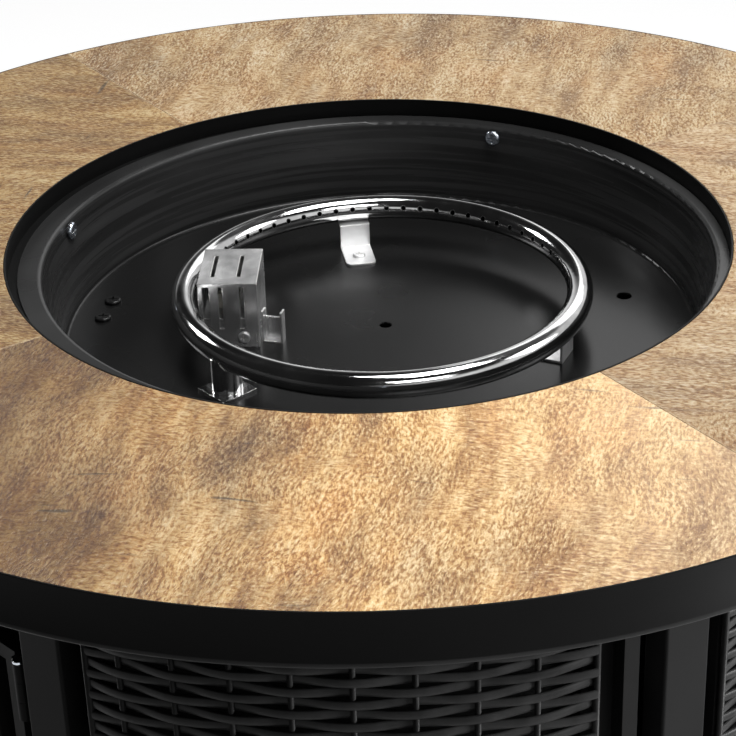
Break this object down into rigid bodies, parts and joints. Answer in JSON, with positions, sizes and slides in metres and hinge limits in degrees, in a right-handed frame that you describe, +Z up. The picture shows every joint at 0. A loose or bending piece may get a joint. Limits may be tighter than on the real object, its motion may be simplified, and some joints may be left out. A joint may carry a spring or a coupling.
{
  "type": "fire pit",
  "caption": "Round gas fire pit table with a wood-look top, a sunk black bowl and ring burner, and a woven-side base with a hinged door.",
  "frame": {"origin": "on the floor, under the centre of the round table top", "axes": "+Z up, -Y towards the front, -X towards the door and the controls"},
  "size_m": [0.8127, 0.8128, 0.622],
  "materials": {
    "wood_tile": "matt printed oak grain, warm tan with brown patches",
    "black_trim": "satin black powder coat",
    "black_bowl": "satin black heat-proof paint",
    "polished_steel": "polished stainless steel",
    "brushed_steel": "plain stainless sheet",
    "zinc_screw": "bright zinc plate",
    "cast_aluminium": "as cast, slightly rough",
    "brass": "machined",
    "ceramic": "glazed white ceramic",
    "black_wicker": "black resin strand with fine lengthwise lines",
    "black_knob": "fine moulded grain",
    "black_plastic": "moulded",
    "black_frame": "satin black powder coat"
  },
  "bodies": {
    "root": {"air_mixer": "cast_aluminium", "base_plate": "black_frame", "bottom_ring": "black_frame", "bowl_clips": "brushed_steel", "bowl_screws": "zinc_screw", "bracket_screws": "brushed_steel", "burner_bracket_back": "brushed_steel", "burner_bracket_right": "brushed_steel", "burner_ring": "polished_steel", "control_panel": "black_frame", "electrode_insulator": "ceramic", "electrode_rod": "brushed_steel", "feed_elbow": "cast_aluminium", "feed_nipple": "polished_steel", "feet": "black_plastic", "fire_bowl": "black_bowl", "floor_bolts": "black_bowl", "frame_screws": "zinc_screw", "gas_nuts": "brass", "gas_orifice": "brass", "gas_pipe": "brass", "gas_valve": "cast_aluminium", "hinge_pins": "zinc_screw", "hinge_post_leaves": "black_frame", "igniter_body": "black_plastic", "magnet_catch": "black_plastic", "pilot_bracket": "polished_steel", "pilot_hood": "polished_steel", "pilot_screws": "brushed_steel", "pilot_shelf": "brushed_steel", "post_1": "black_frame", "post_2": "black_frame", "post_3": "black_frame", "post_4": "black_frame", "post_5": "black_frame", "rim_band": "black_trim", "side_panel_1": "black_frame", "side_panel_3": "black_frame", "side_panel_4": "black_frame", "side_panel_5": "black_frame", "side_wicker_1": "black_wicker", "side_wicker_3": "black_wicker", "side_wicker_4": "black_wicker", "side_wicker_5": "black_wicker", "tank_collar": "black_frame", "thermocouple": "brushed_steel", "tile_back": "wood_tile", "tile_front": "wood_tile", "tile_left": "wood_tile", "tile_right": "wood_tile", "top_deck": "black_trim", "top_ring": "black_frame", "trim_band": "black_trim"},
    "door": {"door_panel": "black_frame", "door_wicker": "black_wicker", "hinge_door_leaves": "black_frame", "door_handle": "black_frame"},
    "valve_stem": {"valve_stem": "brushed_steel"},
    "knob": {"control_knob": "black_knob"},
    "button": {"igniter_button": "black_plastic"}
  },
  "joints": [
    {"name": "door_hinge", "type": "hinge", "parent": "root", "child": "door", "pos_m": [-0.20517, -0.22161, 0.2445], "axis": [0, 0, 1], "range_deg": [0, 110]},
    {"name": "knob_turn", "type": "hinge", "parent": "root", "child": "valve_stem", "pos_m": [-0.26147, -0.10564, 0.534], "axis": [-0.9272, -0.3746, 0], "range_deg": [0, 210]},
    {"name": "knob_push", "type": "slide", "parent": "valve_stem", "child": "knob", "axis": [0.9272, 0.3746, 0], "range_m": [0, 0.003], "stiffness_N_per_m": 800},
    {"name": "igniter_push", "type": "slide", "parent": "root", "child": "button", "axis": [0.9877, 0.1564, 0], "range_m": [0, 0.004], "stiffness_N_per_m": 600}
  ]
}
